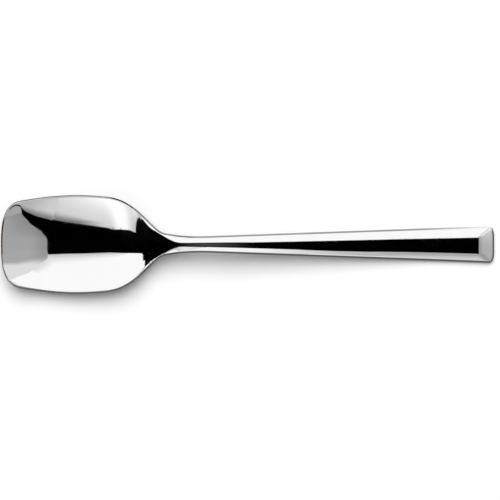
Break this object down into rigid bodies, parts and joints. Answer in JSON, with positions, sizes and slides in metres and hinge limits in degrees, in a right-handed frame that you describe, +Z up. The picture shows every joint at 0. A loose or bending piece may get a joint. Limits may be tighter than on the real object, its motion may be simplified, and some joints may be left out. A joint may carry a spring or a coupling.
{
  "type": "ice cream spoon",
  "caption": "Mirror-polished steel ice cream spoon: squared shovel bowl, arrow-shaped throat, slim arched neck and a faceted handle that widens to a bevelled square end.",
  "frame": {"origin": "bottom centre of the bounding box: on the table that the spoon lies on, under the middle of its length and width", "axes": "X along the spoon, from the front edge of the bowl (-X) to the end of the handle (+X); Y across it; Z up, out of the bowl's mouth"},
  "size_m": [0.138, 0.0276, 0.0084],
  "materials": {
    "polished_steel": "polished"
  },
  "bodies": {
    "root": {"spoon": "polished_steel"}
  },
  "joints": []
}
